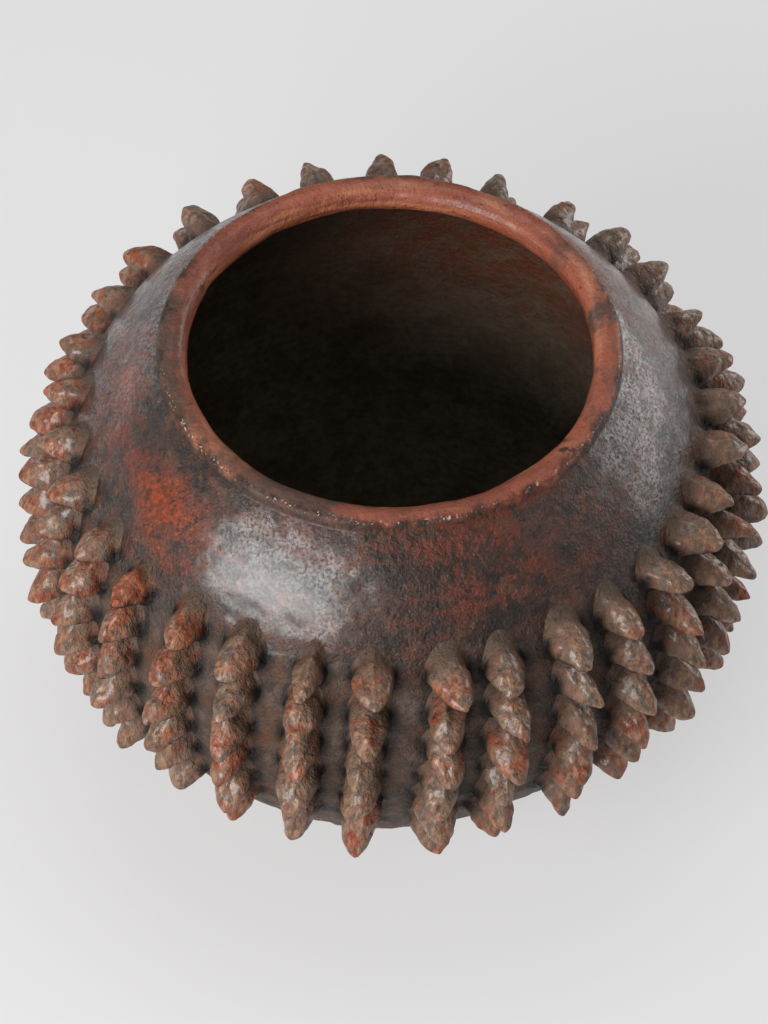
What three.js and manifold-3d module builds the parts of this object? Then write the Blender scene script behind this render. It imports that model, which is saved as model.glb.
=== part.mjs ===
// Squat hand-built earthenware pot: a bellied wall of coils with a wide mouth and a rolled lip,
// and upright columns of finger-pinched spikes luted round the belly.
//
// Millimetres, +Z up. The origin is the middle of the flat underside.
// Azimuth 0 is the front, towards -Y, and azimuths grow towards +X.
// Distances along the wall run down its outer face, from its end under the lip to the foot.

import * as THREE from 'three';
import { mergeVertices } from 'three/addons/utils/BufferGeometryUtils.js';
import Module from 'manifold-3d';

// Wall
const footRadius = 90;
const bellyRadius = 164.3;
const bellyHeight = 135.8; // the widest ring, above the table
const shoulderRise = 150.1; // from the widest ring to where the shoulder's curve would close over
const wallThickness = 9;
const floorThickness = 11;

// Mouth
const rimRadius = 106.5; // outer face of the wall where it ends under the lip
const lipWidth = 15.6; // across the rolled lip, which laps the wall's end inside and out
const lipProud = 7.4; // how far the lip stands beyond the wall's end
const lipOverhang = 2.6; // how far the lip laps over the wall's outer face

// Joints between the wall's pieces
const slipGap = 0.3; // the film of slip that beds one piece on the next
const coilCount = 8;
const scarfDrop = 8; // how much lower a joint between two coils is inside than outside
const floorTurnUp = 9; // how far the floor turns up the outside of the wall
const floorFillet = 8; // width of the slope where the floor meets the wall inside

// Spikes
const columnCount = 32;
const rowCount = 6;
const firstRowDistance = 72; // along the wall, from its end under the lip to the first spike's middle
const rowPitch = 20.8;
const spikeWidth = 21; // round the pot
const footLap = 6.8; // how far each spike's foot runs into the next one's down the column
const spikeLength = 20.5; // at both ends of a column at the front
const spikeSwell = 3.5; // what the middle rows are longer by
const backLonger = 2.5; // what the spikes at the back are longer by
const leftShorter = 2.5; // what the spikes on the left are shorter by
const lowShorter = 2; // what the lowest spikes on both sides are shorter by
const spikeDroop = 17.5; // degrees that a tip lies below the wall's own outward direction
const rootDepth = 3; // how far a spike's root reaches under the wall's face before it is trimmed
const rootFlare = 1.08; // the root's width as a share of the foot's
const flankCurve = 1.7; // a spike keeps its width for longer as this grows
const tipBluntness = 0.65; // 1 is a pointed tip, and less is a blunter one

// Unevenness of the hand that set them, in degrees and millimetres
const firstAzimuth = 185.7; // of the first column, at the back
const columnDrift = [ // slow drifts of the columns round the pot
  { swing: 3.3, turns: 1, lead: 13 },
  { swing: 1.1, turns: 2, lead: -52 },
];
const frontSlant = { most: -3, at: 12, spread: 26 }; // how the front columns lean as they go down
const columnJitter = 0.8;
const rowJitter = 1.1;
const leanJitter = 9;
const lengthJitter = 0.09; // as a share of a spike's length
const widthJitter = 0.06; // as a share of a spike's width

// Faceting
const turnSteps = 40; // round the pot
const coilSteps = 2; // down each coil
const lipSteps = 7;
const spikeSides = 6;
const spikeRings = [0.35, 0.7, 0.92]; // shares of a spike's length

const radians = THREE.MathUtils.degToRad;
const wasm = await Module();
wasm.setup();

// The outer face of the wall as (radius, height): one ellipse from its end under the lip down to
// the widest ring, then another that lands on the edge of the foot.
class WallFace extends THREE.Curve {
  getPoint(t, target = new THREE.Vector2()) {
    const rimAngle = Math.acos(rimRadius / bellyRadius);
    const footAngle = Math.acos(footRadius / bellyRadius);
    const angle = t < 0.5 ? rimAngle * (1 - 2 * t) : footAngle * (1 - 2 * t);
    const rise = t < 0.5 ? shoulderRise : bellyHeight / Math.sin(footAngle);
    return target.set(bellyRadius * Math.cos(angle), bellyHeight + rise * Math.sin(angle));
  }
}

const wallFace = new WallFace();
wallFace.arcLengthDivisions = 800;
const wallLength = wallFace.getLength();
const floorDistance = wallLength - floorTurnUp;

// The wall's point, its downward direction and its outward direction at a distance along it.
function wallAt(distance) {
  const share = THREE.MathUtils.clamp(distance / wallLength, 0, 1);
  const point = wallFace.getPointAt(share);
  const down = wallFace.getTangentAt(share);
  const out = new THREE.Vector2(-down.y, down.x);
  return { point, down, out };
}

// A point at a depth under the outer face, square to it. A negative depth stands proud.
function underWall(distance, depth) {
  const { point, out } = wallAt(distance);
  return point.addScaledVector(out, -depth);
}

function spread(from, to, steps) {
  return Array.from({ length: steps + 1 }, (_, i) => from + ((to - from) * i) / steps);
}

// Turns a closed outline of (radius, height) points round the pot's axis.
// The outline runs down the outside of the piece and up its inside.
function turned(outline) {
  const closed = [...outline, outline[0].clone()];
  const geometry = new THREE.LatheGeometry(closed.reverse(), turnSteps);
  geometry.rotateX(Math.PI / 2);
  return geometry;
}

function clay(color, roughness) {
  return new THREE.MeshStandardMaterial({ color, roughness, metalness: 0 });
}

const floorClay = clay(0x4a3b32, 0.85);
const wipedClay = clay(0x5d5047, 0.72);
const burnishedClay = clay(0x3b3432, 0.38);
const lipClay = clay(0x94503a, 0.42);
const spikeClay = clay(0x735a4a, 0.75);

function named(name, geometry, material) {
  const mesh = new THREE.Mesh(geometry, material);
  mesh.name = name;
  return mesh;
}

// The pressed slab that the pot stands on. Its edge turns up the wall and is cut square to it.
function floorDisc() {
  const cut = floorDistance + slipGap;
  const inner = underWall(cut, wallThickness);
  const outline = [
    new THREE.Vector2(0, floorThickness),
    new THREE.Vector2(inner.x - floorFillet, floorThickness),
    inner,
    underWall(cut, 0),
    underWall((cut + wallLength) / 2, 0),
    new THREE.Vector2(footRadius, 0),
    new THREE.Vector2(0, 0),
  ];
  return named('floor_disc', turned(outline), floorClay);
}

// One coil of the wall, counted from the floor up. Each joint between two coils is a scarf, lower
// inside than outside. The first coil sits square on the floor's edge, and the last is cut square
// for the lip.
function wallCoil(index) {
  const isFirst = index === 0;
  const isLast = index === coilCount - 1;
  const scarfGap = (slipGap * Math.hypot(wallThickness, scarfDrop)) / wallThickness;
  const height = floorDistance / coilCount;
  const top = isLast ? 0 : floorDistance - (index + 1) * height + scarfGap;
  const bottom = floorDistance - index * height;
  const insideTop = isLast ? 0 : top + scarfDrop;
  const insideBottom = isFirst ? bottom : bottom + scarfDrop;
  const outside = spread(top, bottom, coilSteps)
    .map((distance) => underWall(distance, 0));
  const inside = spread(insideTop, insideBottom, coilSteps)
    .map((distance) => underWall(distance, wallThickness));
  const finish = bottom < firstRowDistance ? burnishedClay : wipedClay;
  return named(`wall_coil_${index + 1}`, turned([...outside, ...inside.reverse()]), finish);
}

// One thick coil pressed over the wall's end: half an ellipse that laps it inside and out.
function lipRoll() {
  const { point, down, out } = wallAt(0);
  const bed = point.addScaledVector(down, -slipGap);
  const middle = lipOverhang - lipWidth / 2;
  const outline = spread(0, Math.PI, lipSteps).map((angle) => bed.clone()
    .addScaledVector(down, -lipProud * Math.sin(angle))
    .addScaledVector(out, middle + (lipWidth / 2) * Math.cos(angle)));
  return named('lip_roll', turned(outline.reverse()), lipClay);
}

// A repeatable number between -1 and 1 for one column, row and kind of unevenness.
function handJitter(column, row, kind) {
  const wave = Math.sin(column * 12.9898 + row * 78.233 + kind * 37.719) * 43758.5453;
  return 2 * (wave - Math.floor(wave)) - 1;
}

// Where a column starts, in degrees.
function columnAzimuth(column) {
  const even = firstAzimuth - (360 * column) / columnCount;
  const drift = columnDrift.reduce(
    (sum, { swing, turns, lead }) => sum + swing * Math.cos(radians(turns * even + lead)),
    0,
  );
  return even + drift + columnJitter * handJitter(column, 0, 1);
}

// How far a spike has moved round the pot from the start of its column, in degrees.
function slantAt(azimuth, row) {
  const fromFront = THREE.MathUtils.euclideanModulo(azimuth - frontSlant.at + 180, 360) - 180;
  const slant = frontSlant.most * Math.exp(-((fromFront / frontSlant.spread) ** 2));
  return (slant * row) / (rowCount - 1);
}

// The length that a spike was pinched to, before the hand's own unevenness.
function evenLength(azimuth, row) {
  const sine = Math.sin(radians(azimuth));
  const back = THREE.MathUtils.smoothstep(-Math.cos(radians(azimuth)), 0.3, 1);
  const left = THREE.MathUtils.smoothstep(-sine, 0.2, 0.9);
  const low = THREE.MathUtils.smoothstep(row, 2, rowCount - 1) * Math.abs(sine);
  const swell = spikeSwell * Math.sin((Math.PI * (row + 0.5)) / rowCount);
  return spikeLength + swell + backLonger * back - leftShorter * left - lowShorter * low;
}

// Maps a place on the wall to space: across is round the pot, along is down the wall from the
// given distance, and rise is square out from the wall.
function wallPlace(azimuth, distance) {
  const { point, down, out } = wallAt(distance);
  return (across, along, rise) => {
    const radius = point.x + down.x * along + out.x * rise;
    const height = point.y + down.y * along + out.y * rise;
    return new THREE.Vector3(
      radius * Math.sin(azimuth) + across * Math.cos(azimuth),
      -radius * Math.cos(azimuth) + across * Math.sin(azimuth),
      height,
    );
  };
}

// Skins a list of rings, each with the same number of points, closes the first and draws the last
// to the tip.
function skinned(rings, tip) {
  const sides = rings[0].length;
  const points = [...rings.flat(), tip];
  const faces = [];
  for (let ring = 0; ring + 1 < rings.length; ring += 1) {
    for (let side = 0; side < sides; side += 1) {
      const a = ring * sides + side;
      const b = ring * sides + ((side + 1) % sides);
      faces.push(a, b, b + sides, a, b + sides, a + sides);
    }
  }
  const last = (rings.length - 1) * sides;
  for (let side = 1; side + 1 < sides; side += 1) {
    faces.push(0, side + 1, side);
  }
  for (let side = 0; side < sides; side += 1) {
    faces.push(last + side, last + ((side + 1) % sides), last + sides);
  }
  const geometry = new THREE.BufferGeometry().setFromPoints(points);
  geometry.setIndex(faces);
  return geometry;
}

// How much of its foot's width a spike keeps at a share of its length.
function spikeTaper(share) {
  return share <= 0 ? rootFlare : (1 - share ** flankCurve) ** tipBluntness;
}

// One finger-pinched spike. Its axis leaves the wall square and bends down towards the tip.
function spike(column, row, azimuth) {
  const slack = (kind) => handJitter(column, row + 1, kind);
  const turn = radians(azimuth + slantAt(azimuth, row));
  const place = wallPlace(turn, firstRowDistance + row * rowPitch + rowJitter * slack(2));
  const length = evenLength(azimuth, row) * (1 + lengthJitter * slack(3));
  const halfWidth = (spikeWidth / 2) * (1 + widthJitter * slack(4));
  const halfFoot = (rowPitch + footLap) / 2;
  const droop = length * Math.sin(radians(spikeDroop));
  const lean = length * Math.sin(radians(leanJitter * slack(5)));
  const reach = length * Math.cos(radians(spikeDroop));
  const ring = (share) => Array.from({ length: spikeSides }, (_, side) => {
    const angle = (2 * Math.PI * (side + 0.5)) / spikeSides + Math.PI / 2;
    const bend = Math.max(share, 0) ** 2;
    const taper = spikeTaper(share);
    return place(
      lean * bend - halfWidth * taper * Math.cos(angle),
      droop * bend + halfFoot * taper * Math.sin(angle),
      reach * share,
    );
  });
  const rings = [-rootDepth / reach, ...spikeRings].map(ring);
  return skinned(rings, place(lean, droop, reach));
}

function toSolid(geometry) {
  const bare = geometry.clone();
  bare.deleteAttribute('normal');
  bare.deleteAttribute('uv');
  const merged = mergeVertices(bare, 1e-4);
  return new wasm.Manifold(new wasm.Mesh({
    numProp: 3,
    vertProperties: new Float32Array(merged.attributes.position.array),
    triVerts: new Uint32Array(merged.index.array),
  }));
}

function toGeometry(solid) {
  const { vertProperties, triVerts } = solid.getMesh();
  const geometry = new THREE.BufferGeometry();
  geometry.setAttribute('position', new THREE.BufferAttribute(vertProperties, 3));
  geometry.setIndex(new THREE.BufferAttribute(triVerts, 1));
  geometry.computeVertexNormals();
  return geometry;
}

// The wall's outer skin with the film of slip on it, which trims the roots of the spikes.
function rootTrimmer() {
  const stations = spread(0, floorDistance, coilCount * coilSteps);
  const outside = stations.map((distance) => underWall(distance, -slipGap));
  const inside = stations.map((distance) => underWall(distance, 2 * rootDepth));
  return toSolid(turned([...outside, ...inside.reverse()]));
}

const trimmer = rootTrimmer();

function spikeColumn(column) {
  const azimuth = columnAzimuth(column);
  let solid = toSolid(spike(column, 0, azimuth));
  for (let row = 1; row < rowCount; row += 1) {
    solid = solid.add(toSolid(spike(column, row, azimuth)));
  }
  const name = `spike_column_${String(column + 1).padStart(2, '0')}`;
  return named(name, toGeometry(solid.subtract(trimmer)), spikeClay);
}

const pot = new THREE.Group();
pot.name = 'spiked_pot';
pot.add(floorDisc(), lipRoll());
for (let index = 0; index < coilCount; index += 1) {
  pot.add(wallCoil(index));
}
for (let column = 0; column < columnCount; column += 1) {
  pot.add(spikeColumn(column));
}

export default pot;
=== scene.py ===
import math

import bpy
import numpy as np
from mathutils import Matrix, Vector


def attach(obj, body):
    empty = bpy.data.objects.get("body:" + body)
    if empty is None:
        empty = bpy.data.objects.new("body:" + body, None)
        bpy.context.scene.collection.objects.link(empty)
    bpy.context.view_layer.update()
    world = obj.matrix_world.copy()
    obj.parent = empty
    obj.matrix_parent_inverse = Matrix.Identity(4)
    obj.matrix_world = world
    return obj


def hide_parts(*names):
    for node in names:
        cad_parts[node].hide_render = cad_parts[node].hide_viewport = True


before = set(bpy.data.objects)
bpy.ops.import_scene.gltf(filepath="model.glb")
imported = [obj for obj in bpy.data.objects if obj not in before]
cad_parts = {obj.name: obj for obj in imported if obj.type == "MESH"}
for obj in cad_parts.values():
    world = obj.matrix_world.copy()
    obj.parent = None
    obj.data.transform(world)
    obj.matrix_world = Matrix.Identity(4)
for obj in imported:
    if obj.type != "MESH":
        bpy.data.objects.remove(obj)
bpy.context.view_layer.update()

scene = bpy.context.scene
mm = 0.001
print("frame: the packed pot is loaded")


# Camera: above the front of the pot, looking down into its mouth

camera = {
    "place": (-2.18, -930.9, 1308.5),  # mm
    "pitchDown": 51.86,  # degrees below the horizon
    "roll": 0.58,  # degrees, anticlockwise
    "lens": 105.5,  # mm
    "sensor": 36,
    "clipStart": 0.05,  # m
    "clipEnd": 50,
}


def makeCamera(c):
    data = bpy.data.cameras.new("viewCamera")
    data.lens = c["lens"]
    data.sensor_width = c["sensor"]
    data.clip_start = c["clipStart"]
    data.clip_end = c["clipEnd"]
    view = bpy.data.objects.new("viewCamera", data)
    view.location = [mm * value for value in c["place"]]
    view.rotation_mode = "ZYX"
    view.rotation_euler = (math.radians(90 - c["pitchDown"]), 0, math.radians(c["roll"]))
    scene.collection.objects.link(view)
    scene.camera = view


makeCamera(camera)


# Shared helpers: smooth random fields and grids made into meshes

def grain(points, size, seed):
    # A smooth random field from -1 to 1 with grains of one size in mm. Each corner of a cubic lattice
    # has a value hashed from its whole numbers, and the eight round a point are blended.
    scaled = points / size + seed * 7.31
    cell = np.floor(scaled).astype(np.int64)
    part = scaled - cell
    weight = part * part * part * (part * (part * 6 - 15) + 10)
    field = np.zeros(points.shape[:-1])
    for corner in np.ndindex(2, 2, 2):
        x, y, z = np.moveaxis(cell + np.array(corner), -1, 0)
        mixed = (x * 73856093) ^ (y * 19349663) ^ (z * 83492791) ^ (seed * 2654435)
        mixed = ((mixed ^ (mixed >> 13)) * 1274126177) & 0x7FFFFFFF
        mixed = ((mixed ^ (mixed >> 15)) * 40503) & 0xFFFF
        share = np.where(np.array(corner) == 1, weight, 1 - weight).prod(axis=-1)
        field += share * (mixed / 32767.5 - 1)
    return field


def marks(points, seed, height, size):
    # A random field of marks, size mm across, that stand proud or sunk by up to the height in mm.
    return height * grain(points, size, seed)


def smoothStep(low, high, value):
    # Rises from 0 to 1 between low and high, softly at both ends.
    t = np.clip((value - low) / (high - low), 0, 1)
    return t * t * (3 - 2 * t)


def gridFaces(rows, columns, start, closed):
    # The quads between neighbouring rows of a grid that closes on itself across its columns, and
    # down its rows as well where closed is true. start is the grid's first vertex.
    row, column = np.meshgrid(np.arange(rows if closed else rows - 1), np.arange(columns), indexing="ij")
    below, beside = (row + 1) % rows, (column + 1) % columns
    quads = np.stack([row * columns + column, below * columns + column,
                      below * columns + beside, row * columns + beside], axis=-1)
    return quads.reshape(-1, 4) + start


def fanFaces(rim, middle, flipped):
    # The triangles from a ring of vertices to one in the middle, which closes a pole.
    following = np.roll(rim, -1)
    first, second = (following, rim) if flipped else (rim, following)
    return np.stack([first, second, np.full(len(rim), middle)], axis=-1)


def netNormals(net):
    # Outward normals of a net that closes on itself across its columns, from each point's neighbours.
    down = np.gradient(net, axis=0)
    beside = np.roll(net, -1, axis=1) - np.roll(net, 1, axis=1)
    normal = np.cross(down, beside)
    return normal / np.maximum(np.linalg.norm(normal, axis=-1, keepdims=True), 1e-9)


def makeMesh(name, points, quads, triangles, fields):
    # points are in mm. fields maps names to values, one for each vertex, for the materials.
    mesh = bpy.data.meshes.new(name)
    corners = np.concatenate([quads.ravel(), triangles.ravel()]).astype(np.int32)
    sizes = np.concatenate([np.full(len(quads), 4), np.full(len(triangles), 3)])
    starts = np.concatenate([[0], np.cumsum(sizes)[:-1]]).astype(np.int32)
    mesh.vertices.add(len(points))
    mesh.loops.add(len(corners))
    mesh.polygons.add(len(sizes))
    mesh.vertices.foreach_set("co", (points * mm).astype(np.float32).ravel())
    mesh.loops.foreach_set("vertex_index", corners)
    mesh.polygons.foreach_set("loop_start", starts)
    mesh.update(calc_edges=True)
    mesh.validate()
    mesh.shade_smooth()
    for field, values in fields.items():
        attribute = mesh.attributes.new(field, "FLOAT", "POINT")
        attribute.data.foreach_set("value", np.asarray(values, np.float32).ravel())
    piece = bpy.data.objects.new(name, mesh)
    scene.collection.objects.link(piece)
    return piece


# Wall: the outer face as (radius, height) against the distance down it from under the lip

wall = {  # lengths in mm
    "footRadius": 90,
    "bellyRadius": 164.3,
    "bellyHeight": 135.8,
    "shoulderRise": 150.1,  # height of the shoulder's ellipse
    "rimRadius": 106.5,
    "thickness": 9,
    "floorThickness": 11,
    "floorTurnUp": 9,
    "floorFillet": 8,
    "scarfDrop": 8,  # each joint is this much lower inside
    "coils": 8,
}


def wallTable(w, steps=4000):
    # One ellipse from the wall's end under the lip to the widest ring, then another to the foot,
    # with the distance run along them.
    rimAngle = math.acos(w["rimRadius"] / w["bellyRadius"])
    footAngle = math.acos(w["footRadius"] / w["bellyRadius"])
    t = np.linspace(0, 1, steps + 1)
    angle = np.where(t < 0.5, rimAngle, footAngle) * (1 - 2 * t)
    rise = np.where(t < 0.5, w["shoulderRise"], w["bellyHeight"] / math.sin(footAngle))
    radius = w["bellyRadius"] * np.cos(angle)
    height = w["bellyHeight"] + rise * np.sin(angle)
    step = np.hypot(np.diff(radius), np.diff(height))
    distance = np.concatenate([[0], np.cumsum(step)])
    down = np.stack([np.gradient(radius, distance), np.gradient(height, distance)])
    down /= np.hypot(*down)
    return {"distance": distance, "radius": radius, "height": height, "down": down}


wallLine = wallTable(wall)
wallLength = wallLine["distance"][-1]
floorDistance = wallLength - wall["floorTurnUp"]
coilHeight = floorDistance / wall["coils"]


def wallAt(distance):
    # The wall's point and its downward direction, each as (radius, height). Its outward direction
    # is the downward one turned by a quarter.
    def read(values):
        return np.interp(distance, wallLine["distance"], values)

    point = np.stack([read(wallLine["radius"]), read(wallLine["height"])])
    down = np.stack([read(wallLine["down"][0]), read(wallLine["down"][1])])
    down /= np.hypot(*down)
    out = np.stack([-down[1], down[0]])
    return point, down, out


def placed(azimuth, radius, height):
    # Points from an azimuth in radians, a radius and a height, which is spread over the azimuths.
    return np.stack([radius * np.sin(azimuth), -radius * np.cos(azimuth), height + 0 * azimuth], axis=-1)


def onWall(azimuth, distance, proud):
    # The point at a height in mm above the wall's even face.
    point, _, out = wallAt(distance)
    return placed(azimuth, point[0] + out[0] * proud, point[1] + out[1] * proud)


# How far down the wall the stone burnished it, in mm from under the lip

stoneReach = {
    "downTo": 66,  # where the first spikes start
    "sideLower": 14,  # further at the sides
    "sideSpan": (0.45, 0.85),  # shares of the radius where this starts and is full
    "wander": (7, 24),  # height and size of its uneven edge
    "fadeAbove": 12,
    "fadeBelow": 10,
}


def burnishAt(points, distance):
    # 1 where the stone burnished the wall, falling to 0 across an uneven edge.
    s = stoneReach
    side = np.abs(points[..., 0]) / np.hypot(points[..., 0], points[..., 1])
    lower = s["sideLower"] * smoothStep(*s["sideSpan"], side)
    edge = s["downTo"] + lower + marks(points, 31, *s["wander"])
    return 1 - smoothStep(edge - s["fadeAbove"], edge + s["fadeBelow"], distance)


handMarks = {  # pairs are the height and the size of the marks, in mm
    "wobble": (0.9, 75),
    "waves": (0.45, 28),
    "dent": 0.14,
    "dentUnburnished": 0.7,  # more where the stone didn't reach
    "dentSize": 11,
    "pebbles": (0.06, 4.2),
    "finePebbles": (0.05, 2.3),
    "strokes": (0.25, 5),
    "drawnOut": (0.2, 0.2, 1),  # strokes run round the pot
    "lumps": (0.65, 5.5),
    "pressedFlat": 0.88,  # share of the strokes and lumps that the stone took away
}


def handWork(azimuth, distance):
    # How far the real face stands off the even one, in mm: slow waves from building it freehand,
    # paddle dents, fine strokes that run round the pot, and pebbled grit under the burnish.
    h = handMarks
    points = onWall(azimuth, distance, 0)
    drawn = points * np.array(h["drawnOut"])
    burnish = burnishAt(points, distance)
    slow = marks(points, 1, *h["wobble"]) + marks(points, 2, *h["waves"])
    dents = marks(points, 3, h["dent"] + h["dentUnburnished"] * (1 - burnish), h["dentSize"])
    pebbles = marks(points, 4, *h["pebbles"]) + marks(points, 5, *h["finePebbles"])
    wiped = marks(drawn, 6, *h["strokes"]) + marks(points, 7, *h["lumps"])
    return slow + dents + pebbles + wiped * (1 - h["pressedFlat"] * burnish)


# Where the spikes stand: thirty-two columns of six, numbered from the back, clockwise in the picture

spikes = {  # lengths in mm, angles in degrees
    "columns": 32,
    "rows": 6,
    "firstRow": 72,  # down the wall from under the lip
    "pitch": 20.8,
    "width": 18.6,
    "upperFoot": 15,  # from a spike's middle to its foot's end
    "lowerFoot": 8.6,
    "length": 20.5,
    "swell": 3.5,  # more half way down a column
    "backLonger": 2.5,
    "backSpan": (0.3, 1),  # shares of the radius where this starts and is full
    "leftShorter": 2.5,
    "leftSpan": (0.2, 0.9),
    "lowShorter": 2,  # at the sides, in the lowest rows
    "lowRows": (2, 5),
    "droop": 17.5,
    "firstAzimuth": 185.7,
    "drift": [(3.3, 1, 13), (1.1, 2, -52)],  # waves in the spacing: swing, turns, lead
    "slant": {"most": -3, "at": 12, "spread": 26},
    "jitter": {"column": 0.8, "row": 1.1, "lean": 9, "length": 0.09, "width": 0.08},
    "tallBack": {0: 4.5, 1: 4.5},  # more on the first spikes of these columns
    "turned": {29: -1.2, 30: -2.2, 31: -1.7, 0: -1.3, 3: -1.9},  # these columns off the even spacing
    "thin": {(18, 0): 0.68},  # share of the width, by column and row
    "crumbled": [(8, 4)],  # spikes whose skin broke off, by column and row
    "flats": {  # turn and its error in radians, then least and most distance in half widths
        "thumb": (-1.57, 0.4, 0.84, 1.02),
        "thumbRight": (-0.8, 0.3, 0.7, 0.88),
        "thumbLeft": (-2.34, 0.3, 0.7, 0.88),
        "fingerRight": (0, 0.3, 0.84, 1.02),
        "fingerLeft": (3.14, 0.3, 0.84, 1.02),
        "bendRight": (0.9, 0.4, 0.84, 1.1),
        "bendLeft": (2.25, 0.4, 0.84, 1.1),
    },
    "flatEdge": 20,  # higher makes a sharper edge between flats
    "stouter": 1.08,  # makes up for what the flats take away
    "firstHead": 0.8,  # share of upperFoot on the first spikes
    "flankCurve": (1.15, 1.95),
    "tipBluntness": 0.59,
    "upperCurve": 0.95,
    "upperBluntness": 0.7,
    "fillet": 2.8,
    "upperFillet": 1.2,  # more above a spike
    "firstFillet": 2.6,  # more above the first row
    "bumps": (0.9, 8.5),  # height and size of these marks
    "fineBumps": (0.46, 4),
    "grit": (0.18, 2),
    "crumbling": 2,  # times more fine bumps on a crumbled spike
    "skin": (0.5, 6),
    "liftTo": 3,  # height over which the bumps come in
    "slimmest": 2.5,  # least half width for the bumps
    "sunk": 0.3,  # a foot's edge lies this deep in the wall
    "sunkTo": 0.7,
    "around": 48,
    "along": 26,
    "footRings": [0, 0.008, 0.02, 0.04, 0.07, 0.11],  # shares of the reach
    "lastRing": 0.997,
    "tipStep": 0.02,
    "root": 1.2,  # under the wall's face
    "rootDip": 1,
    "lowWall": (48, 74),  # down the wall, where painted shade in the hollows between spikes comes in
    "seed": 700,
}


def handJitter(column, row, kind):
    # A repeatable error of the hand from -1 to 1, the same one as in the solids.
    wave = np.sin(column * 12.9898 + row * 78.233 + kind * 37.719) * 43758.5453
    return 2 * (wave - np.floor(wave)) - 1


def planColumn(column, p):
    # Place and size of the six spikes of a column, as arrays. The columns at the front slant to the
    # left as they go down. Spikes are longest half way down and at the back.
    row = np.arange(p["rows"])
    even = p["firstAzimuth"] - 360 * column / p["columns"]
    drift = sum(swing * math.cos(math.radians(turns * even + lead)) for swing, turns, lead in p["drift"])
    azimuth = even + drift + p["jitter"]["column"] * handJitter(column, 0, 1) + p["turned"].get(column, 0)
    fromFront = (azimuth - p["slant"]["at"] + 180) % 360 - 180
    slant = p["slant"]["most"] * math.exp(-(fromFront / p["slant"]["spread"]) ** 2)
    turn = math.radians(azimuth)
    back, left = smoothStep(*p["backSpan"], -math.cos(turn)), smoothStep(*p["leftSpan"], -math.sin(turn))
    swell = p["swell"] * np.sin(math.pi * (row + 0.5) / p["rows"])
    size = p["length"] + swell + back * p["backLonger"] - left * p["leftShorter"]
    size = size - p["lowShorter"] * abs(math.sin(turn)) * smoothStep(*p["lowRows"], row)
    length = size * (1 + p["jitter"]["length"] * handJitter(column, row + 1, 3))
    length = length + (row == 0) * p["tallBack"].get(column, 0)
    thin = np.array([p["thin"].get((column, place), 1) for place in row])
    return {
        "azimuth": np.radians(azimuth + slant * row / (p["rows"] - 1)),
        "middle": p["firstRow"] + row * p["pitch"] + p["jitter"]["row"] * handJitter(column, row + 1, 2),
        "length": length,
        "halfWidth": thin * p["width"] / 2 * (1 + p["jitter"]["width"] * handJitter(column, row + 1, 4)),
        "lean": length * np.sin(np.radians(p["jitter"]["lean"] * handJitter(column, row + 1, 5))),
    }


columnPlans = [planColumn(column, spikes) for column in range(spikes["columns"])]


# Where painted shade darkens the wall round each spike's foot
footShadePlan = {  # mm
    "above": 13,  # from a spike's middle to the painted shade's edge
    "below": 11,
    "beside": 1,  # beyond the spike's half width
    "fade": 3,
    "thinning": 0.75,  # how fast it thins above a spike
    "firstThinning": 1.6,  # above the first row
}


def footShadeAt(azimuth, distance):
    # How much painted shade darkens the wall round the nearest spike's foot, from 0 to 1: full in an
    # oval and thinner with the square of the distance from it.
    s = footShadePlan
    sootAndShade = np.zeros(np.broadcast(azimuth, distance).shape)
    radius = wallAt(distance)[0][0]
    for plan in columnPlans:
        columnSpikes = zip(plan["azimuth"], plan["middle"], plan["halfWidth"])
        for row, (turn, middle, halfWidth) in enumerate(columnSpikes):
            beside = radius * np.angle(np.exp(1j * (azimuth - turn))) / (halfWidth + s["beside"])
            along = (distance - middle) / np.where(distance < middle, s["above"], s["below"])
            gap = (np.hypot(beside, along) - 1) * halfWidth
            thinning = s["firstThinning"] if row == 0 else s["thinning"]
            strength = np.clip(1 - thinning * np.minimum(along, 0) ** 2, 0, 1)
            sootAndShade = np.maximum(sootAndShade, np.exp(-(np.maximum(gap, 0) / s["fade"]) ** 2) * strength)
    return sootAndShade


# Colour clouds that the fire left on the shoulder. A place is given by its azimuth in degrees, its
# distance in mm down the wall, how wide and tall it is in these units, and its strength.

fireClouds = [
    (-53, 31, 11, 14, 0.95), (-67, 33, 9, 7, 0.6), (-48, 48, 12, 6, 0.5), (-84, 26, 16, 18, 0.42),
    (14, 12, 17, 8, 0.36), (27, 34, 17, 14, 0.32), (44, 24, 14, 10, 0.2), (118, 34, 26, 16, 0.34),
    (135, 6, 34, 16, 0.8), (160, 30, 26, 14, 0.6), (-150, 45, 20, 12, 0.5),
]


def strongestAt(places, azimuth, distance, fading=0.9):
    # Each place is a soft oval that fades with the square of the distance from its middle.
    field = np.zeros(np.broadcast(azimuth, distance).shape)
    for turn, down, wide, tall, strength in places:
        beside = np.degrees(np.angle(np.exp(1j * (azimuth - math.radians(turn)))))
        off = (beside / wide) ** 2 + ((distance - down) / tall) ** 2
        field = np.maximum(field, strength * np.exp(-fading * off))
    return field


# Where the stone rubbed the grit smooth

rubbedPlaces = [
    (-24, 41, 14, 16, 1), (-38, 30, 12, 10, 0.4), (96, 30, 22, 16, 0.3), (128, 34, 26, 16, 0.7),
    (-110, 24, 22, 12, 0.4), (178, 30, 24, 16, 0.5),
]


wallGrid = {"around": 576, "outerStep": 1.6, "innerStep": 5}  # steps in mm
azimuths = np.linspace(-math.pi, math.pi, wallGrid["around"], endpoint=False)[None, :]

# What the fire left inside: red clay over the right of the back. High on the inner wall, painted shade
# darkens it in patches.

innerRed = {
    "azimuth": 134,
    "turnSpan": (0.1, 0.95),  # cosines of the turn away from there
    "risesOver": (0, 22),  # mm down the wall
    "fadesOver": (80, 210),
}
# Places of painted shade high on the inner wall, under the rim
innerShade = [(86, 16, 24, 30, 0.75), (-140, 30, 90, 60, 0.9), (150, 20, 130, 60, 0.9)]


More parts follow.
